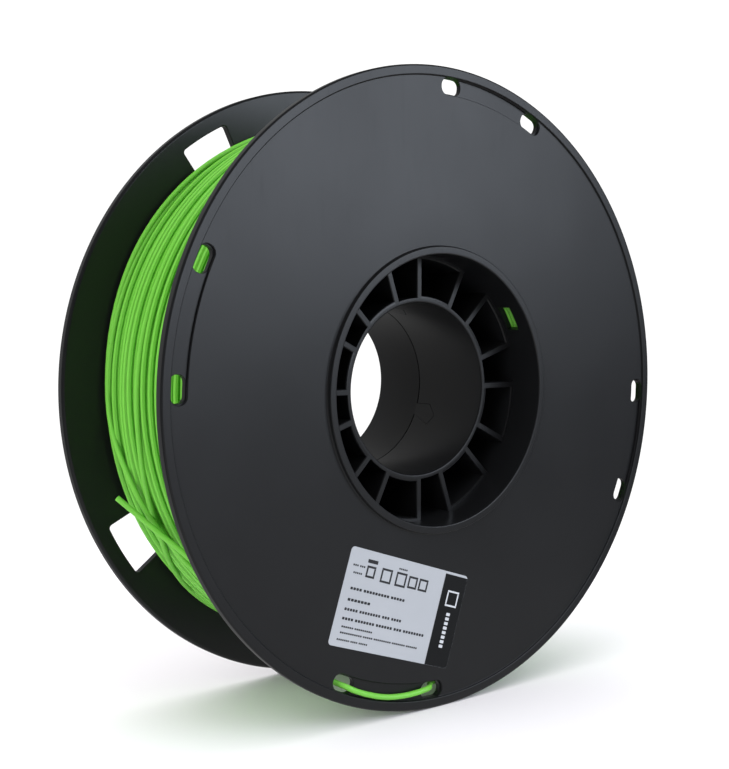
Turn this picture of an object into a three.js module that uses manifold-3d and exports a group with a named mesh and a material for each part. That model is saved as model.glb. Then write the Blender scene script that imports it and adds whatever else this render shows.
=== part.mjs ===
// A filament spool: two snapped-together half spools, a full winding of filament, the loose end of the
// filament threaded through the front flange, and a label. Millimetres, +Z up. The spool stands on its
// rims with its axis along Y; the flange with the filament slots faces -Y. Angles are in degrees,
// clockwise from the top as seen from the front.
import * as THREE from 'three';
import { mergeVertices } from 'three/addons/utils/BufferGeometryUtils.js';
import Module from 'manifold-3d';

const wasm = await Module();
wasm.setup();

// ---- driving dimensions -------------------------------------------------------------------------
const SEGMENTS = 72; // a round is made of this many flats, one of them straight down
const FLANGE_R = 100;
const RIM_FACE = 31.25; // the rims' outer faces, from the middle of the spool
const RIM_INNER_R = 96.85;
const RIM_HEIGHT = 0.65; // rim above the web
const WEB = 2.65; // flange thickness inside the rim
const FLANGE_BEVEL = { across: 0.8, along: 1.0 }; // on the inner edge of each flange
const HUB_R = 42.3; // hub opening, which is the drum's inside
const HUB_RING_R = 44.75;
const HUB_FACE = 32.0; // the hub rings stand a little proud of the rims
const DRUM_R = 44.3;
const TUBE_R = 29.4; // arbor tube outside
const THIN_TUBE_R = 29.05; // the same in the narrow pockets between ribs
const THICK_TUBE_R = 29.7; // and in the wide pockets
const LEDGE_R = 41.3; // the wide pockets' outer wall stands in to here
const BORE_R = 27.5;
const REAR_BORE_R = 26.4; // the rear tube narrows towards its mouth
const TUBE_FACE = -19.8; // the front tube and ribs are recessed to here
const SEAM = 11.5; // where the two halves meet
const GAP = 0.3; // between pieces that touch
const OVERLAP = 0.8; // how far shapes that are joined run into each other
const REACH = 1; // how far a cutter reaches past the faces it cuts
const RIB = 2.0;
const QUARTER = 90;

const WEB_FACE = RIM_FACE - RIM_HEIGHT;
const INNER_FACE = WEB_FACE - WEB;
const REAR_FLOOR = 19.8; // inner face of the floor that closes the rear half's pockets
const FLOOR = 2.0; // the floor's thickness

const FILAMENT_R = 0.875;
const WINDING_R = 87.0;
const WINDING_BEVEL = 0.8;

const rad = THREE.MathUtils.degToRad;

// ---- helpers ------------------------------------------------------------------------------------
function polar(angle, radius, y) {
  return new THREE.Vector3(radius * Math.sin(rad(angle)), y, radius * Math.cos(rad(angle)));
}

// A geometry with shared corners and outward faces, whichever way it was built.
function closed(geometry) {
  const bare = new THREE.BufferGeometry();
  bare.setAttribute('position', geometry.getAttribute('position'));
  if (geometry.index) bare.setIndex(geometry.index);
  const welded = mergeVertices(bare, 1e-4);
  const p = welded.getAttribute('position');
  const old = welded.index.array;
  const corner = [new THREE.Vector3(), new THREE.Vector3(), new THREE.Vector3()];
  const kept = [];
  let volume = 0;
  for (let i = 0; i < old.length; i += 3) {
    const tri = [old[i], old[i + 1], old[i + 2]];
    if (tri[0] === tri[1] || tri[1] === tri[2] || tri[2] === tri[0]) continue;
    tri.forEach((v, k) => corner[k].fromBufferAttribute(p, v));
    volume += corner[0].dot(corner[1].clone().cross(corner[2])) / 6;
    kept.push(...tri);
  }
  if (volume < 0) kept.reverse();
  welded.setIndex(kept);
  return welded;
}

function toManifold(geometry) {
  const g = closed(geometry);
  return new wasm.Manifold(new wasm.Mesh({
    numProp: 3,
    vertProperties: new Float32Array(g.getAttribute('position').array),
    triVerts: new Uint32Array(g.index.array),
  }));
}

function toGeometry(manifold) {
  const mesh = manifold.getMesh();
  const g = new THREE.BufferGeometry();
  g.setAttribute('position', new THREE.BufferAttribute(new Float32Array(mesh.vertProperties), 3));
  g.setIndex(new THREE.BufferAttribute(new Uint32Array(mesh.triVerts), 1));
  g.computeVertexNormals();
  return g;
}

// A ring about the spool's axis; profile is a closed outline of [radius, y].
function ring(profile) {
  const outline = [...profile, profile[0]].map(([r, y]) => new THREE.Vector2(r, y));
  return new THREE.LatheGeometry(outline, SEGMENTS, Math.PI / SEGMENTS);
}

// An outline in the plane of the flange, [x, z], as a plate from y0 to y1.
function plate(outline, y0, y1) {
  const shape = new THREE.Shape(outline.map(([x, z]) => new THREE.Vector2(x, z)));
  const g = new THREE.ExtrudeGeometry(shape, { depth: y1 - y0, bevelEnabled: false, steps: 1 });
  return g.rotateX(Math.PI / 2).translate(0, y1, 0);
}

// Corners of a rectangle with rounded corners, centred on the origin.
function roundedRectangle(length, width, corner, steps) {
  const points = [];
  for (let quadrant = 0; quadrant < 4; quadrant++) {
    const sx = quadrant === 0 || quadrant === 3 ? 1 : -1;
    const sy = quadrant < 2 ? 1 : -1;
    for (let i = 0; i <= steps; i++) {
      const a = (quadrant + i / steps) * Math.PI / 2;
      const x = sx * (length / 2 - corner) + corner * Math.cos(a);
      const y = sy * (width / 2 - corner) + corner * Math.sin(a);
      points.push([x, y]);
    }
  }
  return points;
}

// A rounded slot bent round the axis: from angle a0 to a1 and from radius r0 to r1.
function bentSlot(a0, a1, r0, r1, corner, y0, y1) {
  const mid = (r0 + r1) / 2;
  const length = rad(a1 - a0) * mid;
  const flat = roundedRectangle(length, r1 - r0, corner, 3);
  const outline = [];
  flat.forEach(([u, v], i) => {
    const [nextU, nextV] = flat[(i + 1) % flat.length];
    const pieces = Math.max(1, Math.ceil(Math.abs(nextU - u) / 8));
    for (let k = 0; k < pieces; k++) {
      const at = u + (nextU - u) * k / pieces;
      const out = v + (nextV - v) * k / pieces;
      const angle = rad((a0 + a1) / 2) + at / mid;
      outline.push([(mid + out) * Math.sin(angle), (mid + out) * Math.cos(angle)]);
    }
  });
  return plate(outline, y0, y1);
}

// A wall that follows the axis's circle from a0 to a1 degrees, between two radii.
function sector(a0, a1, r0, r1, y0, y1) {
  const steps = Math.max(2, Math.round((a1 - a0) / 5));
  const outline = [];
  for (let i = 0; i <= steps; i++) {
    const p = polar(a0 + (a1 - a0) * i / steps, r1, 0);
    outline.push([p.x, p.z]);
  }
  for (let i = steps; i >= 0; i--) {
    const p = polar(a0 + (a1 - a0) * i / steps, r0, 0);
    outline.push([p.x, p.z]);
  }
  return plate(outline, y0, y1);
}

// A radial rib, a plain plate from r0 to r1 at an angle.
function rib(angle, r0, r1, y0, y1) {
  const g = new THREE.BoxGeometry(RIB, y1 - y0, r1 - r0);
  g.translate(0, (y0 + y1) / 2, (r0 + r1) / 2);
  return g.rotateY(rad(angle));
}

// ---- the pattern that both halves share ---------------------------------------------------------
const PAIR_PITCH = 45; // ribs come in pairs, this far apart
const PAIR_OPEN = 26.3; // the wide pocket of each pair; the narrow one takes the rest
const RIB_ANGLES = [];
for (let a = 0; a < 360; a += PAIR_PITCH) {
  RIB_ANGLES.push(a, a + PAIR_OPEN);
}
const RIB_END_R = HUB_R + 0.6; // the ribs end inside the drum's wall

// The flange's half of a profile, from the drum's outside corner round to the hub opening's rim.
// side is -1 for the front flange and +1 for the rear one.
function flangeProfile(side) {
  return [
    [DRUM_R, side * INNER_FACE],
    [FLANGE_R - FLANGE_BEVEL.across, side * INNER_FACE],
    [FLANGE_R, side * (INNER_FACE + FLANGE_BEVEL.along)],
    [FLANGE_R, side * RIM_FACE],
    [RIM_INNER_R, side * RIM_FACE],
    [RIM_INNER_R, side * WEB_FACE],
    [HUB_RING_R, side * WEB_FACE],
    [HUB_RING_R, side * HUB_FACE],
    [HUB_R, side * HUB_FACE],
  ];
}

// ---- snap hooks in the bore ---------------------------------------------------------------------
const HOOK_ANGLES = [28, 118, 208, 298];
const HOOK_OUTLINE = [[-12, 0], [-4.6, 0], [3, -8.1], [-4.2, -10.2], [-12, -6.5]]; // degrees, mm
const HOOK_MIDDLE = [-5, -5]; // the point that a clearance grows the outline from
const HOOK_BLOCK = { inner: 25.5, depth: 6 }; // mm from the axis, and outwards from there

// The outline, drawn on the bore's wall, as a block reaching through the wall. Grown by a clearance.
function hookBlock(angle, clearance) {
  const perDegree = rad(1) * BORE_R;
  const middle = [HOOK_MIDDLE[0] * perDegree, HOOK_MIDDLE[1]];
  const outline = HOOK_OUTLINE.map(([a, y]) => {
    const u = a * perDegree;
    const du = u - middle[0];
    const dy = y - middle[1];
    const grow = 1 + clearance / Math.hypot(du, dy);
    return new THREE.Vector2(middle[0] + du * grow, y === 0 ? REACH : middle[1] + dy * grow);
  });
  const shape = new THREE.Shape(outline);
  const g = new THREE.ExtrudeGeometry(shape, { depth: HOOK_BLOCK.depth, bevelEnabled: false, steps: 1 });
  g.translate(0, SEAM, HOOK_BLOCK.inner);
  return g.rotateY(rad(angle));
}

// ---- front half: flange with slots, drum, ribs and front part of the arbor tube ------------------
const SLOT_STARTS = [0.0, 21.8];
const SLOT = { length: 4.75, inner: 91.85, outer: 96.65, corner: 2.1 }; // degrees, mm
const GROOVE = { from: -0.25, to: 26.85, inner: 91.35, outer: RIM_INNER_R - 0.05, corner: 2.3, depth: 0.75 };
const START_SLOT = { from: 52.3, to: 64, y0: -26.4, y1: -21.3 }; // where the winding starts, in the drum

function frontHalf() {
  const end = SEAM - GAP / 2;
  const profile = [...flangeProfile(-1), [HUB_R, end], [DRUM_R, end]];
  let body = toManifold(ring(profile));
  const tube = [[BORE_R, TUBE_FACE], [THIN_TUBE_R, TUBE_FACE], [THIN_TUBE_R, end], [BORE_R, end]];
  body = body.add(toManifold(ring(tube)));
  for (let a = 0; a < 360; a += PAIR_PITCH) {
    const wide = [a, a + PAIR_OPEN];
    body = body.add(toManifold(sector(...wide, BORE_R + OVERLAP, THICK_TUBE_R, TUBE_FACE, end)));
    body = body.add(toManifold(sector(...wide, LEDGE_R, HUB_R + OVERLAP, TUBE_FACE, end)));
  }
  for (const a of RIB_ANGLES) {
    body = body.add(toManifold(rib(a, TUBE_R - 1.2, RIB_END_R, TUBE_FACE, end)));
  }
  for (let a = 0; a < 360; a += QUARTER) {
    const front = -RIM_FACE - REACH;
    const floor = -WEB_FACE + GROOVE.depth;
    const groove = bentSlot(a + GROOVE.from, a + GROOVE.to, GROOVE.inner, GROOVE.outer, GROOVE.corner,
      front, floor);
    body = body.subtract(toManifold(groove));
    for (const start of SLOT_STARTS) {
      const slot = bentSlot(a + start, a + start + SLOT.length, SLOT.inner, SLOT.outer, SLOT.corner,
        front, -INNER_FACE + REACH);
      body = body.subtract(toManifold(slot));
    }
  }
  const { from, to, y0, y1 } = START_SLOT;
  body = body.subtract(toManifold(sector(from, to, HUB_R - 2 * REACH, DRUM_R + REACH, y0, y1)));
  for (const a of HOOK_ANGLES) {
    body = body.subtract(toManifold(hookBlock(a, GAP)));
  }
  return toGeometry(body);
}

// ---- rear half: flange with windows, short drum, floor and the tube that fills the bore's rear ---
const WINDOW_CENTRES = [58.2, 148.2, 238.2, 328.2];
const WINDOW = { width: 11.3, inner: 83, outer: 94.7, corner: 1.2 }; // degrees, mm
const HOOK_ROOT = { from: -5, to: SEAM + 3 }; // the length of tube that the hooks are shaped from

function rearHalf() {
  const start = SEAM + GAP / 2;
  const profile = [
    [BORE_R, start],
    [TUBE_R, start],
    [TUBE_R, REAR_FLOOR],
    [HUB_R, REAR_FLOOR],
    [HUB_R, start],
    [DRUM_R, start],
    ...flangeProfile(1),
    [HUB_R, REAR_FLOOR + FLOOR],
    [TUBE_R, REAR_FLOOR + FLOOR],
    [TUBE_R, HUB_FACE],
    [REAR_BORE_R, HUB_FACE],
  ];
  let body = toManifold(ring(profile));
  for (const a of RIB_ANGLES) {
    body = body.add(toManifold(rib(a, TUBE_R - OVERLAP, RIB_END_R, REAR_FLOOR + REACH, HUB_FACE - 2)));
  }
  const tube = toManifold(ring([
    [BORE_R, HOOK_ROOT.from],
    [THIN_TUBE_R, HOOK_ROOT.from],
    [THIN_TUBE_R, HOOK_ROOT.to],
    [BORE_R, HOOK_ROOT.to],
  ]));
  for (const a of HOOK_ANGLES) {
    body = body.add(toManifold(hookBlock(a, 0)).intersect(tube));
  }
  for (const a of WINDOW_CENTRES) {
    const half = WINDOW.width / 2;
    const opening = bentSlot(a - half, a + half, WINDOW.inner, WINDOW.outer, WINDOW.corner,
      INNER_FACE - REACH, RIM_FACE);
    body = body.subtract(toManifold(opening));
  }
  return toGeometry(body);
}

// ---- the winding: every turn of it, as one solid between the flanges -----------------------------
function winding() {
  const side = INNER_FACE - GAP;
  const inside = DRUM_R + GAP;
  return closed(ring([
    [inside, -side],
    [WINDING_R - WINDING_BEVEL, -side],
    [WINDING_R, -side + WINDING_BEVEL],
    [WINDING_R, side - WINDING_BEVEL],
    [WINDING_R - WINDING_BEVEL, side],
    [inside, side],
  ]));
}

// ---- the loose end: off the winding, out and back through a pair of slots, and across ------------
const TAIL_SIDES = 8;
const TAIL_STEPS = 78;
// [angle, radius, y], chosen by hand.
const TAIL_ROUTE = [
  [150.0, 88.3, -26.6],
  [158.0, 88.5, -26.6],
  [166.0, 89.3, -26.6],
  [173.0, 91.2, -26.6],
  [177.0, 92.5, -26.6],
  [179.4, 93.1, -26.65],
  [180.6, 93.3, -26.85],
  [181.5, 93.4, -27.8],
  [182.2, 93.5, -29.1],
  [183.1, 93.5, -30.4],
  [184.4, 93.7, -31.0],
  [187.0, 94.4, -31.03],
  [190.5, 95.1, -31.03],
  [194.4, 95.5, -31.03],
  [198.4, 95.4, -31.03],
  [200.9, 95.2, -31.03],
  [202.4, 95.0, -30.9],
  [203.4, 94.8, -30.2],
  [204.3, 94.7, -29.1],
  [205.1, 94.6, -27.8],
  [206.1, 94.4, -26.9],
  [208.0, 94.1, -26.3],
  [211.0, 93.2, -24.5],
  [216.0, 91.6, -20.6],
  [223.0, 89.8, -15.3],
  [231.0, 88.9, -8.8],
  [238.0, 89.1, -2.6],
  [243.0, 90.6, 3.6],
  [247.4, 92.5, 8.9],
  [251.2, 94.8, 13.4],
];

function tail() {
  const points = TAIL_ROUTE.map(([a, r, y]) => polar(a, r, y));
  const path = new THREE.CatmullRomCurve3(points, false, 'centripetal');
  const section = new THREE.Shape();
  for (let i = 0; i < TAIL_SIDES; i++) {
    const a = (i + 0.5) * 2 * Math.PI / TAIL_SIDES;
    const [x, y] = [FILAMENT_R * Math.cos(a), FILAMENT_R * Math.sin(a)];
    if (i === 0) section.moveTo(x, y);
    else section.lineTo(x, y);
  }
  return closed(new THREE.ExtrudeGeometry(section, { steps: TAIL_STEPS, extrudePath: path }));
}

// ---- the label on the front flange ---------------------------------------------------------------
const LABEL = { length: 49.5, width: 29.7, corner: 1.2, thickness: 0.2, x: -16.8, z: -66.55, tilt: -18.3 };

function label() {
  const turn = rad(LABEL.tilt);
  const outline = roundedRectangle(LABEL.length, LABEL.width, LABEL.corner, 3).map(([u, v]) => [
    LABEL.x + u * Math.cos(turn) - v * Math.sin(turn),
    LABEL.z + u * Math.sin(turn) + v * Math.cos(turn),
  ]);
  const back = -WEB_FACE - GAP;
  return closed(plate(outline, back - LABEL.thickness, back));
}

// ---- materials and the scene ---------------------------------------------------------------------
function material(color, roughness) {
  return new THREE.MeshStandardMaterial({ color, roughness, metalness: 0 });
}

const black = material(0x36373b, 0.45);
const green = material(0x5fc43c, 0.35);
const paper = material(0xe4e6ea, 0.6);

const spool = new THREE.Group();

function addPiece(name, geometry, surface) {
  const mesh = new THREE.Mesh(geometry, surface);
  mesh.name = name;
  spool.add(mesh);
}

addPiece('front_half', frontHalf(), black);
addPiece('rear_half', rearHalf(), black);
addPiece('filament_winding', winding(), green);
addPiece('filament_tail', tail(), green);
addPiece('label', label(), paper);

export default spool;
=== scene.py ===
"""A full spool of green 3-D printing filament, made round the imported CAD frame.

The plastic halves, the winding and the label are finer meshes that stand in for the CAD solids, at the
same sizes. Lengths in this file are millimetres until a mesh is made, and the helpers turn them into
metres. Angles are degrees, clockwise from the top as seen from the front, which faces -Y.
"""

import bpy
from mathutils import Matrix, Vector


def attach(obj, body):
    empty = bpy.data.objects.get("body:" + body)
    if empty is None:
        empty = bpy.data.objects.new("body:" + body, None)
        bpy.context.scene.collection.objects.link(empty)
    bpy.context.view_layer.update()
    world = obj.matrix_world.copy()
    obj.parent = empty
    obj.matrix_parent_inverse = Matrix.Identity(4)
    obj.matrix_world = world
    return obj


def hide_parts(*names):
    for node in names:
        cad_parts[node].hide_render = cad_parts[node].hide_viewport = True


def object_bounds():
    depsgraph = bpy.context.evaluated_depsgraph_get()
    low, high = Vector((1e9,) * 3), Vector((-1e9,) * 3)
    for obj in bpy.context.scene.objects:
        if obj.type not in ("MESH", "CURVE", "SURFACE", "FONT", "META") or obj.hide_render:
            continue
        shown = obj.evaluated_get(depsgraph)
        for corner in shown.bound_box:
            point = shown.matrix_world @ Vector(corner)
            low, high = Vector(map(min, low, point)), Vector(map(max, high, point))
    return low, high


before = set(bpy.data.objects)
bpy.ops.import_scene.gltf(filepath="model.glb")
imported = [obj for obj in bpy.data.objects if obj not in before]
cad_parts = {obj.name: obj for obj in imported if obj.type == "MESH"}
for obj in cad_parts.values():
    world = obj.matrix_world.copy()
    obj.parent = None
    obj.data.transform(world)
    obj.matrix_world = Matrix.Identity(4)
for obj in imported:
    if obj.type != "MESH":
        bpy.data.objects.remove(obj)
cad_box = [list(corner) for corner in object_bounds()]

import math
import random

import bmesh
import bpy
import numpy as np
from mathutils import Vector

MM = 0.001

# ---- sizes, as in the CAD model ------------------------------------------------------------------
FLANGE_R = cad_box[1][2] / MM
RIM_FACE = 31.25
RIM_INNER_R = 96.85
RIM_HEIGHT = 0.65
WEB = 2.65
HUB_R = 42.3
HUB_RING_R = 44.75
HUB_FACE = 32.0
DRUM_R = 44.3
TUBE_R = 29.4
THIN_TUBE_R = 29.05
THICK_TUBE_R = 29.7
LEDGE_R = 41.3
BORE_R = 27.5
REAR_BORE_R = 26.4
TUBE_FACE = -19.8
SEAM = 11.5
GAP = 0.3
RIB = 2.0
REAR_FLOOR = 19.8
FLOOR = 2.0
WEB_FACE = RIM_FACE - RIM_HEIGHT
INNER_FACE = WEB_FACE - WEB

FILAMENT_R = 0.875

RIB_PAIR_PITCH = 45
RIB_PAIR_OPEN = 26.3
RIB_END_R = HUB_R + 0.6
QUARTERS = (0, 90, 180, 270)

GROOVE = {"start": -0.25, "end": 26.85, "inner": 91.35, "outer": 96.8, "depth": 0.75, "corner": 2.3}
SLOT_STARTS = (0.0, 21.8)
SLOT = {"length": 4.75, "inner": 91.85, "outer": 96.65, "corner": 2.1}
START_SLOT = {"start": 52.3, "end": 64, "y0": -26.4, "y1": -21.3}
WINDOW = {"centre": 58.2, "width": 11.3, "inner": 83, "outer": 94.7, "corner": 1.2}

HOOK_ANGLES = (28, 118, 208, 298)
HOOK_CLEARANCE = 0.18
HOOK_OUTLINE = ((-12, 0), (-4.6, 0), (3, -8.1), (-4.2, -10.2), (-12, -6.5))  # degrees, mm from the seam
HOOK_MIDDLE = (-5, -5)
HOOK_BLOCK = {"inner": 25.5, "outer": 31.5}
HOOK_ROOT = {"start": -5, "end": SEAM + 3}

LABEL = {
    "length": 49.5, "width": 29.7, "corner": 1.2, "thickness": 0.12,
    "x": -16.8, "z": -66.55, "tilt": -18.3,
}

# The loose end of the filament: [angle, radius, y], the same points as in the CAD model.
TAIL_ROUTE = (
    (150.0, 88.3, -26.6),
    (158.0, 88.5, -26.6),
    (166.0, 89.3, -26.6),
    (173.0, 91.2, -26.6),
    (177.0, 92.5, -26.6),
    (179.4, 93.1, -26.65),
    (180.6, 93.3, -26.85),
    (181.5, 93.4, -27.8),
    (182.2, 93.5, -29.1),
    (183.1, 93.5, -30.4),
    (184.4, 93.7, -31.0),
    (187.0, 94.4, -31.03),
    (190.5, 95.1, -31.03),
    (194.4, 95.5, -31.03),
    (198.4, 95.4, -31.03),
    (200.9, 95.2, -31.03),
    (202.4, 95.0, -30.9),
    (203.4, 94.8, -30.2),
    (204.3, 94.7, -29.1),
    (205.1, 94.6, -27.8),
    (206.1, 94.4, -26.9),
    (208.0, 94.1, -26.3),
    (211.0, 93.2, -24.5),
    (216.0, 91.6, -20.6),
    (223.0, 89.8, -15.3),
    (231.0, 88.9, -8.8),
    (238.0, 89.1, -2.6),
    (243.0, 90.6, 3.6),
    (247.4, 92.5, 8.9),
    (251.2, 94.8, 13.4),
)

# ---- fineness of the meshes ----------------------------------------------------------------------
ROUND_SEGMENTS = 288
FILLET_STEPS = 4
CORNER_STEPS = 6
SHARP_ANGLE = math.radians(38)

REACH = 1.0  # how far a cutter reaches past the faces it cuts
OVERLAP = 0.8  # how far shapes that are joined run into each other
RIB_EASE = 0.25


def polar(angle, radius, y):
    a = math.radians(angle)
    return Vector((radius * math.sin(a), y, radius * math.cos(a))) * MM


# ---- camera --------------------------------------------------------------------------------------
def add_camera():
    data = bpy.data.cameras.new("camera")
    data.sensor_fit = "HORIZONTAL"
    data.sensor_width = 36
    data.lens = 61.95
    data.clip_start = 0.01
    camera = bpy.data.objects.new("camera", data)
    camera.location = (-0.2633, -0.3205, 0.0242)
    azimuth, elevation = math.radians(-38.7), math.radians(3.27)
    back = Vector((
        math.sin(azimuth) * math.cos(elevation),
        -math.cos(azimuth) * math.cos(elevation),
        math.sin(elevation),
    ))
    camera.rotation_euler = back.to_track_quat("Z", "Y").to_euler()
    bpy.context.scene.collection.objects.link(camera)
    bpy.context.scene.camera = camera


add_camera()


# ---- materials -----------------------------------------------------------------------------------
def new_material(name):
    material = bpy.data.materials.new(name)
    material.use_nodes = True
    shader = material.node_tree.nodes["Principled BSDF"]
    return material, material.node_tree, shader


def add_node(tree, kind, **values):
    node = tree.nodes.new(kind)
    for key, value in values.items():
        setattr(node, key, value)
    return node


def noise(tree, coordinates, scale, detail=3.0, roughness=0.5):
    node = add_node(tree, "ShaderNodeTexNoise")
    node.inputs["Scale"].default_value = scale
    node.inputs["Detail"].default_value = detail
    node.inputs["Roughness"].default_value = roughness
    tree.links.new(coordinates, node.inputs["Vector"])
    return node.outputs["Fac"]


def spread(tree, value, low, high, from_low=0.3, from_high=0.7):
    """Maps a noise value onto low to high."""
    node = add_node(tree, "ShaderNodeMapRange", clamp=True)
    node.inputs["From Min"].default_value = from_low
    node.inputs["From Max"].default_value = from_high
    node.inputs["To Min"].default_value = low
    node.inputs["To Max"].default_value = high
    tree.links.new(value, node.inputs["Value"])
    return node.outputs["Result"]


def blend_colours(tree, factor, first, second):
    node = add_node(tree, "ShaderNodeMix", data_type="RGBA")
    tree.links.new(factor, node.inputs[0])
    node.inputs[6].default_value = (*first, 1)
    node.inputs[7].default_value = (*second, 1)
    return node.outputs[2]


def add_bumps(tree, shader, layers):
    """layers are (height output, distance in metres, strength), chained from first to last."""
    normal = None
    for height, distance, strength in layers:
        bump = add_node(tree, "ShaderNodeBump")
        bump.inputs["Distance"].default_value = distance
        bump.inputs["Strength"].default_value = strength
        tree.links.new(height, bump.inputs["Height"])
        if normal is not None:
            tree.links.new(normal, bump.inputs["Normal"])
        normal = bump.outputs["Normal"]
    tree.links.new(normal, shader.inputs["Normal"])


def stretched(tree, scale):
    """Object coordinates scaled by axis, so that a noise on them draws streaks."""
    coordinates = add_node(tree, "ShaderNodeTexCoord")
    mapping = add_node(tree, "ShaderNodeMapping")
    mapping.inputs["Scale"].default_value = scale
    tree.links.new(coordinates.outputs["Object"], mapping.inputs["Vector"])
    return mapping.outputs["Vector"]


def black_plastic():
    """Satin moulded black: a fine skin, slow waviness, faint handling marks in the gloss."""
    material, tree, shader = new_material("black_plastic")
    coordinates = stretched(tree, (1, 1, 1))
    cloudy = noise(tree, coordinates, 22, 4)
    skin = noise(tree, coordinates, 2600, 2)
    wavy = noise(tree, coordinates, 30, 1)
    streaks = noise(tree, stretched(tree, (900, 60, 60)), 1, 3, 0.7)
    tint = blend_colours(tree, cloudy, (0.0070, 0.0073, 0.0080), (0.0095, 0.0098, 0.0108))
    tree.links.new(tint, shader.inputs["Base Color"])
    rough = add_node(tree, "ShaderNodeMath", operation="ADD")
    tree.links.new(spread(tree, cloudy, 0.29, 0.35), rough.inputs[0])
    tree.links.new(spread(tree, streaks, 0.0, 0.06, 0.55, 0.8), rough.inputs[1])
    tree.links.new(rough.outputs[0], shader.inputs["Roughness"])
    shader.inputs["IOR"].default_value = 1.42
    add_bumps(tree, shader, [(wavy, 0.0004, 0.25), (skin, 0.00002, 0.35)])
    return material


def green_filament():
    """Extruded green plastic, a little translucent, with slight changes of shade along the strand."""
    material, tree, shader = new_material("green_filament")
    coordinates = stretched(tree, (1, 1, 1))
    drift = noise(tree, coordinates, 14, 2)
    fine = noise(tree, coordinates, 420, 3)
    tint = blend_colours(tree, drift, (0.135, 0.50, 0.028), (0.20, 0.58, 0.085))
    tree.links.new(tint, shader.inputs["Base Color"])
    tree.links.new(spread(tree, fine, 0.34, 0.44), shader.inputs["Roughness"])
    shader.inputs["IOR"].default_value = 1.46
    shader.inputs["Subsurface Weight"].default_value = 0.12
    shader.inputs["Subsurface Scale"].default_value = 0.001
    shader.inputs["Subsurface Radius"].default_value = (0.5, 1.0, 0.3)
    add_bumps(tree, shader, [(fine, 0.00003, 0.3)])
    return material


def label_film():
    """Matt pale grey film over a slightly uneven web."""
    material, tree, shader = new_material("label_film")
    coordinates = stretched(tree, (1, 1, 1))
    cloudy = noise(tree, coordinates, 60, 3)
    fibre = noise(tree, coordinates, 3000, 3)
    tint = blend_colours(tree, cloudy, (0.39, 0.41, 0.44), (0.43, 0.45, 0.48))
    tree.links.new(tint, shader.inputs["Base Color"])
    tree.links.new(spread(tree, cloudy, 0.42, 0.52), shader.inputs["Roughness"])
    add_bumps(tree, shader, [(cloudy, 0.0003, 0.2), (fibre, 0.00001, 0.3)])
    return material


def print_ink(name, light, dark):
    """Printed ink, very slightly patchy."""
    material, tree, shader = new_material(name)
    coordinates = stretched(tree, (1, 1, 1))
    patchy = noise(tree, coordinates, 1800, 3)
    tree.links.new(blend_colours(tree, patchy, dark, light), shader.inputs["Base Color"])
    tree.links.new(spread(tree, patchy, 0.36, 0.5), shader.inputs["Roughness"])
    shader.inputs["Specular IOR Level"].default_value = 0.2
    return material


def floor_white():
    """Plain matt white, slightly cloudy."""
    material, tree, shader = new_material("studio_floor")
    coordinates = stretched(tree, (1, 1, 1))
    cloudy = noise(tree, coordinates, 3, 2)
    tint = blend_colours(tree, cloudy, (0.90, 0.885, 0.895), (0.92, 0.9, 0.91))
    tree.links.new(tint, shader.inputs["Base Color"])
    shader.inputs["Roughness"].default_value = 0.9
    shader.inputs["Specular IOR Level"].default_value = 0.1
    return material


BLACK = black_plastic()
GREEN = green_filament()
FILM = label_film()
DARK_INK = print_ink("dark_ink", (0.035, 0.036, 0.040), (0.018, 0.019, 0.021))
BLACK_INK = print_ink("black_ink", (0.008, 0.0085, 0.009), (0.005, 0.0053, 0.006))
LIGHT_INK = print_ink("light_ink", (0.62, 0.64, 0.67), (0.5, 0.52, 0.55))


# ---- the loose end, a round strand along a curve -------------------------------------------------
def add_tail():
    data = bpy.data.curves.new("filament_tail_strand", "CURVE")
    data.dimensions = "3D"
    data.bevel_depth = FILAMENT_R * MM
    data.bevel_resolution = 5
    data.resolution_u = 10
    data.use_fill_caps = True
    spline = data.splines.new("BEZIER")
    spline.bezier_points.add(len(TAIL_ROUTE) - 1)
    for point, (angle, radius, y) in zip(spline.bezier_points, TAIL_ROUTE):
        point.co = polar(angle, radius, y)
        point.handle_left_type = "AUTO"
        point.handle_right_type = "AUTO"
    data.materials.append(GREEN)
    tail = bpy.data.objects.new("filament_tail_strand", data)
    bpy.context.scene.collection.objects.link(tail)
    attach(tail, "root")
    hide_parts("filament_tail")


add_tail()


# ---- mesh helpers --------------------------------------------------------------------------------
def mesh_object(name, vertices, faces, material=None):
    mesh = bpy.data.meshes.new(name)
    mesh.from_pydata(vertices, [], faces)
    if material is not None:
        mesh.materials.append(material)
    piece = bpy.data.objects.new(name, mesh)
    bpy.context.scene.collection.objects.link(piece)
    return piece


def face_outwards(piece):
    work = bmesh.new()
    work.from_mesh(piece.data)
    bmesh.ops.recalc_face_normals(work, faces=work.faces)
    work.to_mesh(piece.data)
    work.free()


def rounded(corners):
    """A closed outline from (radius, y, fillet) corners, each fillet drawn as an arc."""
    outline = []
    for i, (radius, y, fillet) in enumerate(corners):
        corner = Vector((radius, y))
        if fillet == 0:
            outline.append(corner)
            continue
        before = (Vector(corners[i - 1][:2]) - corner).normalized()
        after = (Vector(corners[(i + 1) % len(corners)][:2]) - corner).normalized()
        half = before.angle(after) / 2
        centre = corner + (before + after).normalized() * fillet / math.sin(half)
        start = corner + before * fillet / math.tan(half) - centre
        end = corner + after * fillet / math.tan(half) - centre
        for step in range(FILLET_STEPS + 1):
            spoke = start.lerp(end, step / FILLET_STEPS)
            outline.append(centre + spoke.normalized() * fillet)
    return outline


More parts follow.
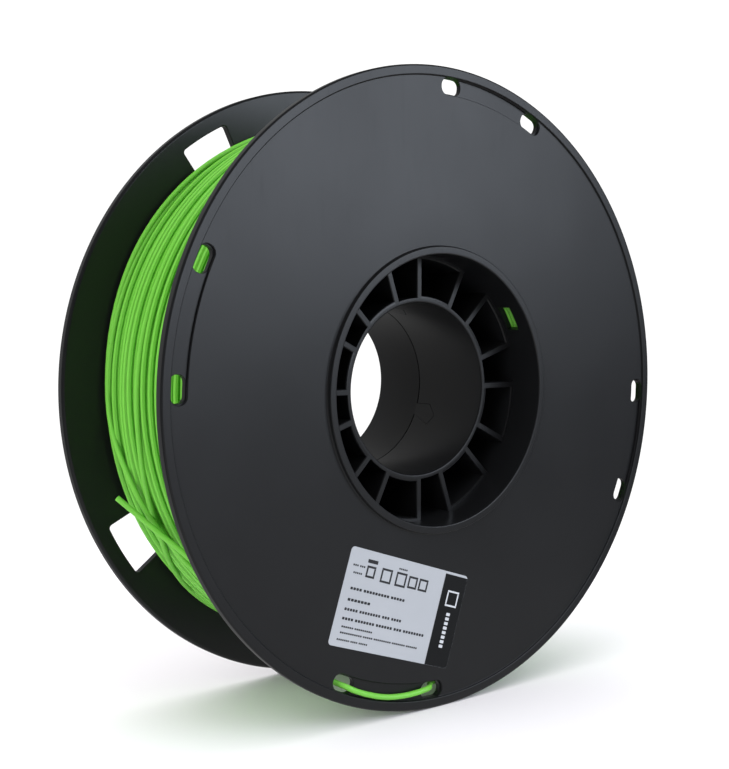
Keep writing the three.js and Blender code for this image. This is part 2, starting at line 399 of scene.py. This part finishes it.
def lathe(name, outline, segments=ROUND_SEGMENTS):
    """A ring about the spool's axis."""
    count = len(outline)
    vertices = [polar(360 * s / segments, r, y) for s in range(segments) for r, y in outline]
    faces = []
    for s in range(segments):
        here, there = s * count, ((s + 1) % segments) * count
        for i in range(count):
            j = (i + 1) % count
            faces.append((here + i, here + j, there + j, there + i))
    piece = mesh_object(name, vertices, faces)
    face_outwards(piece)
    return piece


def loft(name, sections):
    """A closed solid through outlines that have the same number of points."""
    count = len(sections[0])
    vertices = [point for section in sections for point in section]
    faces = [tuple(range(count)), tuple(range(len(vertices) - count, len(vertices)))]
    for level in range(len(sections) - 1):
        for i in range(count):
            j = (i + 1) % count
            base = level * count
            faces.append((base + i, base + j, base + count + j, base + count + i))
    piece = mesh_object(name, vertices, faces)
    face_outwards(piece)
    return piece


def combine(base, tools, operation):
    """Joins or cuts base with each tool in turn, and removes the tools."""
    for tool in tools:
        modifier = base.modifiers.new("combine", "BOOLEAN")
        modifier.operation = operation
        modifier.solver = "MANIFOLD"
        modifier.object = tool
        depsgraph = bpy.context.evaluated_depsgraph_get()
        result = bpy.data.meshes.new_from_object(base.evaluated_get(depsgraph))
        base.modifiers.clear()
        base.data = result
        bpy.data.objects.remove(tool)
    return base


def joined(pieces):
    """One object from several that don't touch each other."""
    with bpy.context.temp_override(active_object=pieces[0], selected_editable_objects=pieces):
        bpy.ops.object.join()
    return pieces[0]


def finish_piece(piece, name, material, replaced):
    """Smooth shading between sharp edges, a material, and a place on the frame."""
    piece.name = name
    piece.data.name = name
    piece.data.materials.clear()
    piece.data.materials.append(material)
    piece.data.polygons.foreach_set("use_smooth", [True] * len(piece.data.polygons))
    piece.data.set_sharp_from_angle(angle=SHARP_ANGLE)
    even = piece.modifiers.new("even_shading", "WEIGHTED_NORMAL")
    even.keep_sharp = True
    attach(piece, "root")
    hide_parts(replaced)


# ---- shapes that the two halves share ------------------------------------------------------------
def flange_corners(side):
    """The flange's part of a half's outline: side is -1 at the front and +1 at the rear."""
    return [
        (DRUM_R, side * INNER_FACE, 0.5),
        (FLANGE_R, side * INNER_FACE, 0.95),
        (FLANGE_R, side * RIM_FACE, 0.65),
        (RIM_INNER_R, side * RIM_FACE, 0.3),
        (RIM_INNER_R, side * WEB_FACE, 0.2),
        (HUB_RING_R, side * WEB_FACE, 0.5),
        (HUB_RING_R, side * HUB_FACE, 0.35),
        (HUB_R, side * HUB_FACE, 0.45),
    ]


def bent_slot(start, end, inner, outer, corner, y, grow=0.0):
    """Points at height y round a slot that follows the flange, grown by a margin."""
    middle = (inner + outer) / 2
    half_length = math.radians(end - start) * middle / 2 + grow
    half_width = (outer - inner) / 2 + grow
    radius = corner + grow
    flat = []
    for quadrant, (su, sv) in enumerate(((1, 1), (-1, 1), (-1, -1), (1, -1))):
        for step in range(CORNER_STEPS + 1):
            a = (quadrant + step / CORNER_STEPS) * math.pi / 2
            u = su * (half_length - radius) + radius * math.cos(a)
            v = sv * (half_width - radius) + radius * math.sin(a)
            flat.append((u, v))
    pieces_per_side = max(2, round((end - start) / 1.25))
    points = []
    for i, (u, v) in enumerate(flat):
        next_u = flat[(i + 1) % len(flat)][0]
        along_length = i in (CORNER_STEPS, 3 * CORNER_STEPS + 2)
        pieces = pieces_per_side if along_length else 1
        for k in range(pieces):
            at = u + (next_u - u) * k / pieces
            angle = (start + end) / 2 + math.degrees(at / middle)
            points.append(polar(angle, middle + v, y))
    return points


def slot_cutter(name, shape, levels):
    """A cutter for a bent slot: levels are (y, grow), so that its edges can be eased."""
    return loft(name, [bent_slot(*shape, y, grow) for y, grow in levels])


def bar(name, angle, r0, r1, section):
    """A radial bar: section is an outline of (sideways, y) points."""
    a = math.radians(angle)
    ends = []
    for radius in (r0, r1):
        ends.append([
            Vector((radius * math.sin(a) + s * math.cos(a), y, radius * math.cos(a) - s * math.sin(a))) * MM
            for s, y in section
        ])
    return loft(name, ends)


def arc_block(name, start, end, outline):
    """A block that follows the axis's circle: outline is a closed list of (radius, y) points."""
    steps = max(2, round(end - start))
    return loft(name, [
        [polar(start + (end - start) * k / steps, r, y) for r, y in outline] for k in range(steps + 1)
    ])


def eased_top(width, low, high, ease, top):
    """A section with its edges eased at the end named by top, which is -1 for low and +1 for high."""
    half = width / 2
    plain, eased = (high, low) if top < 0 else (low, high)
    shoulder = eased - top * ease
    return [
        (-half, plain),
        (-half, shoulder),
        (-half + ease, eased),
        (half - ease, eased),
        (half, shoulder),
        (half, plain),
    ]


def rib_angles():
    return [a + b for a in range(0, 360, RIB_PAIR_PITCH) for b in (0, RIB_PAIR_OPEN)]


def hook_block(name, angle, clearance):
    """A snap hook's outline, drawn on the bore's wall and grown by a clearance, through the wall."""
    per_degree = math.radians(1) * BORE_R
    middle = Vector((HOOK_MIDDLE[0] * per_degree, HOOK_MIDDLE[1]))
    outline = []
    for a, y in HOOK_OUTLINE:
        away = Vector((a * per_degree, y)) - middle
        grown = middle + away * (1 + clearance / away.length)
        outline.append((grown.x, SEAM + (REACH if y == 0 else grown.y)))
    return bar(name, angle, HOOK_BLOCK["inner"], HOOK_BLOCK["outer"], outline)


# ---- front half ----------------------------------------------------------------------------------
def front_shell():
    """Flange, hub ring and drum, with the grooves, the filament slots and the slot in the drum."""
    end = SEAM - GAP / 2
    shell = lathe("front_shell", rounded([*flange_corners(-1), (HUB_R, end, 0), (DRUM_R, end, 0)]))
    ease = 0.2
    floor = -WEB_FACE + GROOVE["depth"]
    front = -RIM_FACE - REACH
    front_ease, back_ease = 0.12, 0.25
    groove_levels = [(front, ease), (-WEB_FACE, ease), (-WEB_FACE + ease, 0), (floor, 0)]
    slot_levels = [
        (front, front_ease),
        (floor, front_ease),
        (floor + 0.15, 0),
        (-INNER_FACE - back_ease, 0),
        (-INNER_FACE, back_ease),
        (-INNER_FACE + REACH, back_ease),
    ]
    for quarter in QUARTERS:
        inner, outer = GROOVE["inner"] + ease, GROOVE["outer"] - ease
        shape = (quarter + GROOVE["start"], quarter + GROOVE["end"], inner, outer, GROOVE["corner"])
        combine(shell, [slot_cutter("groove", shape, groove_levels)], "DIFFERENCE")
        for start in SLOT_STARTS:
            first = quarter + start
            shape = (first, first + SLOT["length"], SLOT["inner"], SLOT["outer"], SLOT["corner"])
            combine(shell, [slot_cutter("slot", shape, slot_levels)], "DIFFERENCE")
    y0, y1 = START_SLOT["y0"], START_SLOT["y1"]
    inside, outside = HUB_R - 2 * REACH, DRUM_R + REACH
    through = [(inside, y0), (outside, y0), (outside, y1), (inside, y1)]
    cutter = arc_block("start_slot", START_SLOT["start"], START_SLOT["end"], through)
    combine(shell, [cutter], "DIFFERENCE")
    return shell


def front_core():
    """Arbor tube, ribs and the thicker walls of the wide pockets, cut for the rear half's hooks."""
    end = SEAM - GAP / 2
    tube = rounded([
        (BORE_R, TUBE_FACE, 0.5),
        (THIN_TUBE_R, TUBE_FACE, 0.3),
        (THIN_TUBE_R, end, 0),
        (BORE_R, end, 0.15),
    ])
    core = lathe("front_core", tube)
    section = eased_top(RIB, TUBE_FACE, end, RIB_EASE, -1)
    ease = 0.3
    face = TUBE_FACE + 0.03  # a hair behind the tube's own face
    wall = [
        (BORE_R + OVERLAP, face),
        (THICK_TUBE_R - ease, face),
        (THICK_TUBE_R, face + ease),
        (THICK_TUBE_R, end),
        (BORE_R + OVERLAP, end),
    ]
    ledge = [
        (LEDGE_R + ease, face),
        (HUB_R + OVERLAP, face),
        (HUB_R + OVERLAP, end),
        (LEDGE_R, end),
        (LEDGE_R, face + ease),
    ]
    for start in range(0, 360, RIB_PAIR_PITCH):
        stop = start + RIB_PAIR_OPEN
        sides = [arc_block("wall", start, stop, wall), arc_block("ledge", start, stop, ledge)]
        combine(core, sides, "UNION")
    for angle in rib_angles():
        combine(core, [bar("rib", angle, TUBE_R - 1.2, RIB_END_R, section)], "UNION")
    combine(core, [hook_block("hook_notch", angle, HOOK_CLEARANCE) for angle in HOOK_ANGLES], "DIFFERENCE")
    return core


# ---- rear half -----------------------------------------------------------------------------------
def rear_body():
    """Flange with windows, short drum, floor, ribs, the rear part of the tube and the snap hooks."""
    start = SEAM + GAP / 2
    body = lathe("rear_body", rounded([
        (BORE_R, start, 0.15),
        (TUBE_R, start, 0),
        (TUBE_R, REAR_FLOOR, 0),
        (HUB_R, REAR_FLOOR, 0),
        (HUB_R, start, 0),
        (DRUM_R, start, 0),
        *flange_corners(1),
        (HUB_R, REAR_FLOOR + FLOOR, 0.4),
        (TUBE_R, REAR_FLOOR + FLOOR, 0.4),
        (TUBE_R, HUB_FACE, 0.35),
        (REAR_BORE_R, HUB_FACE, 0.6),
    ]))
    section = eased_top(RIB, REAR_FLOOR + REACH, HUB_FACE - 2, RIB_EASE, 1)
    for angle in rib_angles():
        combine(body, [bar("rib", angle, TUBE_R - OVERLAP, RIB_END_R, section)], "UNION")
    root, tip = HOOK_ROOT["end"], HOOK_ROOT["start"]
    wall = [(BORE_R, tip), (THIN_TUBE_R, tip), (THIN_TUBE_R, root), (BORE_R, root)]
    for angle in HOOK_ANGLES:
        sleeve = lathe("sleeve", wall)
        hook = combine(hook_block("hook", angle, 0), [sleeve], "INTERSECT")
        combine(body, [hook], "UNION")
    ease = 0.3
    levels = [
        (INNER_FACE - REACH, ease),
        (INNER_FACE, ease),
        (INNER_FACE + ease, 0),
        (WEB_FACE - ease, 0),
        (WEB_FACE, ease),
        (RIM_FACE + REACH, ease),
    ]
    for quarter in QUARTERS:
        first = quarter + WINDOW["centre"] - WINDOW["width"] / 2
        shape = (first, first + WINDOW["width"], WINDOW["inner"], WINDOW["outer"], WINDOW["corner"])
        combine(body, [slot_cutter("window", shape, levels)], "DIFFERENCE")
    return body


finish_piece(front_shell(), "front_half_shell", BLACK, "front_half")
finish_piece(front_core(), "front_half_core", BLACK, "front_half")
finish_piece(rear_body(), "rear_half_body", BLACK, "rear_half")


# ---- the winding ---------------------------------------------------------------------------------
LAYERS = 26  # whole layers below the open top layer
LAYER_PITCH = 1.58
FIRST_LAYER_R = DRUM_R + FILAMENT_R + 0.05
STRAND_EDGE = INNER_FACE - FILAMENT_R - 0.15  # a strand's centre lies this far from the middle at most
TURNS_PER_LAYER = 30
FINE_LAYERS = 3
JOG_ARC = (203.0, 243.0)
random.seed(11)

# Where the open top layer's turns lie across the spool, at the angle where they were chosen.
TOP_TURNS = (-26.4, -22.9, -19.2, -15.4, -12.6, -8.9, -4.3, -0.7, 3.6, 6.3, 11.8, 14.6, 16.7, 21.6, 24.9)
TOP_REFERENCE = 280
TOP_LAYER_R = 86.3

# The last turns, which cross over the others: [angle, radius, y]. They end where the loose end starts.
LAST_TURNS = (
    (280, 86.3, 24.9),
    (330, 86.3, 25.6),
    (420, 86.3, 26.2),
    (500, 86.3, 26.6),
    (565, 86.4, 26.6),
    (582, 87.0, 24.0),
    (592, 87.8, 17.5),
    (600, 87.9, 11.5),
    (610, 87.8, 8.0),
    (622, 87.2, 6.0),
    (650, 86.6, 5.4),
    (700, 86.6, 5.3),
    (740, 87.4, 4.0),
    (790, 88.0, 1.0),
    (850, 88.0, -5.0),
    (900, 88.0, -11.0),
    (925, 88.0, -11.5),
    (935, 88.0, -8.0),
    (952, 88.0, 2.0),
    (961, 88.5, 6.3),
    (966, 89.1, 9.5),
    (971, 88.6, 13.5),
    (976, 87.8, 18.0),
    (983, 86.8, 23.3),
    (995, 86.3, 25.4),
    (1008, 86.9, 25.6),
    (1022, 87.5, 25.5),
    (1042, 87.5, 25.1),
    (1058, 87.2, 24.4),
    (1080, 87.9, 21.5),
    (1110, 88.0, 14.0),
    (1140, 88.0, 4.0),
    (1170, 88.0, -7.0),
    (1200, 88.1, -18.0),
    (1218, 88.2, -24.4),
    (1226, 88.3, -26.4),
    (1230, 88.3, -26.6),
)


def sweep(stations, sides):
    """Vertices and faces of a strand through (angle, radius, y) stations."""
    angle, radius, y = np.array(stations, float).T
    a = np.radians(angle)
    out = np.stack([np.sin(a), np.zeros_like(a), np.cos(a)], 1)
    centre = out * radius[:, None]
    centre[:, 1] = y
    tangent = np.gradient(centre, axis=0)
    tangent /= np.linalg.norm(tangent, axis=1)[:, None]
    side = np.cross(tangent, out)
    side /= np.linalg.norm(side, axis=1)[:, None]
    up = np.cross(side, tangent)
    turn = np.arange(sides) / sides * 2 * math.pi
    circle = np.cos(turn)[None, :, None] * up[:, None] + np.sin(turn)[None, :, None] * side[:, None]
    vertices = (centre[:, None] + FILAMENT_R * circle).reshape(-1, 3) * MM
    rows = len(stations)
    corner = np.arange(rows * sides).reshape(rows, sides)
    beside = np.roll(corner, -1, axis=1)
    quads = np.stack([corner[:-1], beside[:-1], beside[1:], corner[1:]], -1).reshape(-1, 4)
    return vertices, quads, [corner[0][::-1], corner[-1]]


def strand_piece(name, strands, sides):
    """One mesh of several strands, smooth, with closed ends."""
    vertices, faces, offset = [], [], 0
    for stations in strands:
        points, quads, caps = sweep(stations, sides)
        vertices.extend(points.tolist())
        faces.extend((quads + offset).tolist())
        faces.extend((cap + offset).tolist() for cap in caps)
        offset += len(points)
    piece = mesh_object(name, vertices, faces)
    face_outwards(piece)
    return piece


def jog(angle):
    """From -1 to +1 and back: each turn steps across quickly over a short arc and drifts back slowly."""
    start, end = JOG_ARC
    a = angle % 360
    if start <= a <= end:
        t = (a - start) / (end - start)
        return -math.cos(math.pi * t)
    t = ((a - end) % 360) / (360 - (end - start))
    return math.cos(math.pi * t)


def whole_layer(index, segments, wander):
    """Stations of one layer from flange to flange. Odd layers run back to the front."""
    radius = FIRST_LAYER_R + index * LAYER_PITCH
    direction = 1 if index % 2 == 0 else -1
    stations = []
    phase = random.uniform(0, 360)
    for step in range(TURNS_PER_LAYER * segments + 1):
        angle = 360 * step / segments + index * TURNS_PER_LAYER * 360
        across = -1 + 2 * step / (TURNS_PER_LAYER * segments)
        y = direction * across * STRAND_EDGE
        free = 1 - (y / (STRAND_EDGE + 1)) ** 2
        y += wander * free * direction * jog(angle)
        swell = 0.18 * math.sin(math.radians(2 * angle + phase))
        stations.append((angle, radius + swell * wander / 3, y))
    return stations


def top_layer(segments):
    """The open layer: unevenly spaced turns that show the layer below between them."""
    stations = []
    turns = len(TOP_TURNS) - 1
    for step in range(turns * segments + 1):
        turn, part = divmod(step / segments, 1)
        turn = min(int(turn), turns - 1)
        if step == turns * segments:
            part = 1.0
        y = TOP_TURNS[turn] + (TOP_TURNS[turn + 1] - TOP_TURNS[turn]) * part
        angle = TOP_REFERENCE + 360 * step / segments
        free = 1 - (y / (STRAND_EDGE + 1)) ** 2
        y += 2.6 * free * (jog(angle) - jog(TOP_REFERENCE))
        y += 0.16 * math.sin(math.radians(angle * 1.31)) * free
        radius = TOP_LAYER_R
        radius += 0.2 * math.sin(math.radians(2 * angle + 60))
        radius += 0.12 * math.sin(math.radians(angle * 2.17))
        stations.append((angle, radius, y))
    return stations


def smooth_route(stations, step=3.0):
    """Closer stations along a centripetal curve through the given ones."""
    points = [Vector(s) for s in stations]
    points = [points[0] * 2 - points[1], *points, points[-1] * 2 - points[-2]]
    fine = []
    for p0, p1, p2, p3 in zip(points, points[1:], points[2:], points[3:]):
        pieces = max(2, round((p2.x - p1.x) / step))
        for k in range(pieces):
            t = k / pieces
            slope1 = (p2 - p0) / (p2.x - p0.x) * (p2.x - p1.x)
            slope2 = (p3 - p1) / (p3.x - p1.x) * (p2.x - p1.x)
            h00, h10 = 2 * t**3 - 3 * t**2 + 1, t**3 - 2 * t**2 + t
            h01, h11 = -2 * t**3 + 3 * t**2, t**3 - t**2
            fine.append(tuple(p1 * h00 + slope1 * h10 + p2 * h01 + slope2 * h11))
    fine.append(tuple(stations[-1]))
    return fine


def winding_length(strands):
    """Metres of filament in the given strands."""
    total = 0.0
    for stations in strands:
        angle, radius, y = np.array(stations, float).T
        a = np.radians(angle)
        line = np.stack([radius * np.sin(a), y, radius * np.cos(a)], 1)
        total += np.linalg.norm(np.diff(line, axis=0), axis=1).sum() * MM
    return total


inner_layers = [whole_layer(0, 96, 0.6)]
hidden_layers = [whole_layer(i, 36, 1.0) for i in range(1, LAYERS - FINE_LAYERS)]
outer_layers = [whole_layer(i, 96, 2.4) for i in range(LAYERS - FINE_LAYERS, LAYERS)]
outer_layers.append(top_layer(120))
last_turns = [smooth_route(LAST_TURNS)]
wound = winding_length(inner_layers + hidden_layers + outer_layers + last_turns)
print("winding length, m:", round(wound, 1))

for name, strands, sides in (
    ("winding_first_layer", inner_layers, 8),
    ("winding_inner_layers", hidden_layers, 4),
    ("winding_outer_layers", outer_layers, 8),
    ("winding_last_turns", last_turns, 12),
):
    piece = strand_piece(name, strands, sides)
    finish_piece(piece, name, GREEN, "filament_winding")


# ---- the label -----------------------------------------------------------------------------------
def label_point(u, v, y):
    a = math.radians(LABEL["tilt"])
    return Vector((
        LABEL["x"] + u * math.cos(a) - v * math.sin(a),
        y,
        LABEL["z"] + u * math.sin(a) + v * math.cos(a),
    )) * MM


def card(name, u0, v0, u1, v1, corners, back, thickness):
    """A thin rectangle on the label; corners are its four corner radii, from the upper right one round."""
    steps = 5
    outline = []
    for (quadrant, (u, v)), corner in zip(enumerate(((u1, v1), (u0, v1), (u0, v0), (u1, v0))), corners):
        su = 1 if u == u1 else -1
        sv = 1 if v == v1 else -1
        for step in range(steps + 1):
            a = (quadrant + step / steps) * math.pi / 2
            outline.append((u - su * corner + corner * math.cos(a), v - sv * corner + corner * math.sin(a)))
    levels = [back, back - thickness]
    return loft(name, [[label_point(u, v, y) for u, v in outline] for y in levels])


LABEL_BACK = -WEB_FACE - 0.01
PRINT_BACK = LABEL_BACK - LABEL["thickness"] + 0.004
PRINT_THICKNESS = 0.012


def print_card(u0, v0, u1, v1, corner=0.12, lift=0.0):
    return card("print", u0, v0, u1, v1, (corner,) * 4, PRINT_BACK - lift, PRINT_THICKNESS)


def word_blocks(v, u0, u1, height, words):
    """A line of plain little blocks in place of words: words gives how many blocks each group has."""
    gap, word_gap, reach = 0.2 * height, 0.45 * height, 0.32 * height
    step = (u1 - u0 - word_gap * (len(words) - 1)) / sum(words)
    blocks = []
    u = u0
    for count in words:
        for _ in range(count):
            blocks.append(print_card(u, v - reach, u + step - gap, v + reach, 0.12 * height))
            u += step
        u += word_gap
    return blocks


def square_outline(u, v, size, line):
    """A plain square frame, in place of a symbol."""
    half = size / 2
    return [
        print_card(u - half, v + half - line, u + half, v + half),
        print_card(u - half, v - half, u + half, v - half + line),
        print_card(u - half, v - half + line + 0.02, u - half + line, v + half - line - 0.02, 0.05),
        print_card(u + half - line, v - half + line + 0.02, u + half, v + half - line - 0.02, 0.05),
    ]


def add_label():
    half_u, half_v = LABEL["length"] / 2, LABEL["width"] / 2
    corner = LABEL["corner"]
    film = card("label_film_piece", -half_u, -half_v, half_u, half_v, (corner,) * 4,
                LABEL_BACK, LABEL["thickness"])
    finish_piece(film, "label_film_piece", FILM, "label")
    band_corners = (0.3, 0.05, 0.05, corner)
    band = card("label_band", 15.0, -half_v + 0.02, half_u - 0.02, half_v - 0.75, band_corners,
                PRINT_BACK, PRINT_THICKNESS)
    finish_piece(band, "label_band", BLACK_INK, "label")

    marks = []
    for v, u0, u1, height, words in (
        (2.7, -21.6, 0.8, 1.25, (4, 9, 5)),
        (-0.7, -21.6, -12.4, 1.25, (7,)),
        (-3.6, -21.9, 1.4, 1.25, (5, 8, 3, 4)),
        (-6.4, -21.9, 12.0, 1.25, (4, 7, 6, 3, 8)),
        (-8.8, -21.4, -9.0, 0.85, (6, 9)),
        (-10.6, -21.4, 10.4, 0.85, (11, 5, 9, 7, 6)),
        (-12.7, -22.0, -9.7, 0.85, (7, 4, 5)),
        (9.6, -22.7, -17.8, 0.9, (3, 3)),
        (7.4, -22.0, -18.4, 0.9, (5,)),
        (11.8, -4.6, -1.0, 0.8, (5,)),
    ):
        marks.extend(word_blocks(v, u0, u1, height, words))
    marks.append(print_card(-17.4, 11.2, -13.4, 12.3))
    for u, size in ((-15.4, 3.6), (-9.0, 4.4), (-2.9, 4.4), (2.1, 3.8), (6.6, 3.8)):
        marks.extend(square_outline(u, 8.6, size, 0.65))
    finish_piece(joined(marks), "label_print", DARK_INK, "label")
    finish_piece(joined(band_marks()), "label_band_marks", LIGHT_INK, "label")


def band_marks():
    """Plain light marks on the black band: a square frame and a column of blocks."""
    lift = 0.02
    marks = [
        print_card(17.6, 4.2, 22.6, 4.75, 0.12, lift),
        print_card(17.6, 8.65, 22.6, 9.2, 0.12, lift),
        print_card(17.6, 4.8, 18.15, 8.6, 0.12, lift),
        print_card(22.05, 4.8, 22.6, 8.6, 0.12, lift),
    ]
    for index in range(8):
        top = 2.2 - 1.45 * index
        marks.append(print_card(19.2, top - 0.95, 20.8, top, 0.2, lift))
    return marks


add_label()


# ---- floor and light -----------------------------------------------------------------------------
def add_floor():
    z = cad_box[0][2]
    radius, corners = 0.3, 96
    turns = [2 * math.pi * i / corners for i in range(corners)]
    rim = [(radius * math.cos(a), radius * math.sin(a), z) for a in turns]
    floor = mesh_object("studio_floor", rim, [tuple(range(corners))], floor_white())
    floor.visible_glossy = False


def add_light(name, kind, location, **values):
    """A light that points at the middle of the spool."""
    data = bpy.data.lights.new(name, kind)
    for key, value in values.items():
        setattr(data, key, value)
    light = bpy.data.objects.new(name, data)
    light.location = location
    light.rotation_euler = Vector(location).to_track_quat("Z", "Y").to_euler()
    bpy.context.scene.collection.objects.link(light)
    return light


def add_world():
    """Plain white to the camera, a soft dome for light, and a darker studio in reflections.

    The glow low in front stands in for the lit floor, which reflections leave out.
    """
    world = bpy.data.worlds.new("studio")
    world.use_nodes = True
    tree = world.node_tree
    path = add_node(tree, "ShaderNodeLightPath")
    coordinates = add_node(tree, "ShaderNodeTexCoord")
    direction = add_node(tree, "ShaderNodeSeparateXYZ")
    tree.links.new(coordinates.outputs["Generated"], direction.inputs[0])
    dome = tree.nodes["Background"]
    dome.inputs["Color"].default_value = (0.98, 0.98, 1.0, 1)
    tree.links.new(spread(tree, direction.outputs["Z"], 0.1, 1.3, 0.0, 0.8), dome.inputs["Strength"])
    last = dome.outputs[0]
    low_front = add_node(tree, "ShaderNodeVectorMath", operation="DOT_PRODUCT")
    low_front.inputs[1].default_value = (0, -0.45, -1)
    tree.links.new(coordinates.outputs["Generated"], low_front.inputs[0])
    glow = add_node(tree, "ShaderNodeMath", operation="ADD")
    tree.links.new(spread(tree, low_front.outputs["Value"], 0.06, 0.45, 0.4, 0.55), glow.inputs[0])
    tree.links.new(spread(tree, direction.outputs["Y"], 0.0, 0.38, 0.3, 0.9), glow.inputs[1])
    studio = add_node(tree, "ShaderNodeBackground")
    tree.links.new(glow.outputs[0], studio.inputs["Strength"])
    backdrop = add_node(tree, "ShaderNodeBackground")
    backdrop.inputs["Strength"].default_value = 1.1
    for rays, background in (("Is Glossy Ray", studio), ("Is Camera Ray", backdrop)):
        background.inputs["Color"].default_value = (1, 1, 1, 1)
        mix = add_node(tree, "ShaderNodeMixShader")
        tree.links.new(path.outputs[rays], mix.inputs[0])
        tree.links.new(last, mix.inputs[1])
        tree.links.new(background.outputs[0], mix.inputs[2])
        last = mix.outputs[0]
    tree.links.new(last, tree.nodes["World Output"].inputs["Surface"])
    bpy.context.scene.world = world


def add_lights():
    sun = add_light("overhead", "SUN", (-0.1, 0.3, 1.0), energy=0.7, angle=math.radians(85))
    fill = add_light("left_fill", "AREA", (-1.25, -0.15, 0.42), energy=11.0, shape="SQUARE", size=1.2)
    key = add_light("front_right_softbox", "AREA", (0.74, -1.34, 0.47), energy=14.0, color=(0.82, 0.89, 1.0),
                    shape="RECTANGLE", size=1.15, size_y=0.9)
    sun.visible_glossy = False
    fill.visible_glossy = False
    key.visible_camera = False
    fill.visible_camera = False


add_floor()
add_world()
add_lights()
bpy.context.scene.view_settings.view_transform = "Standard"
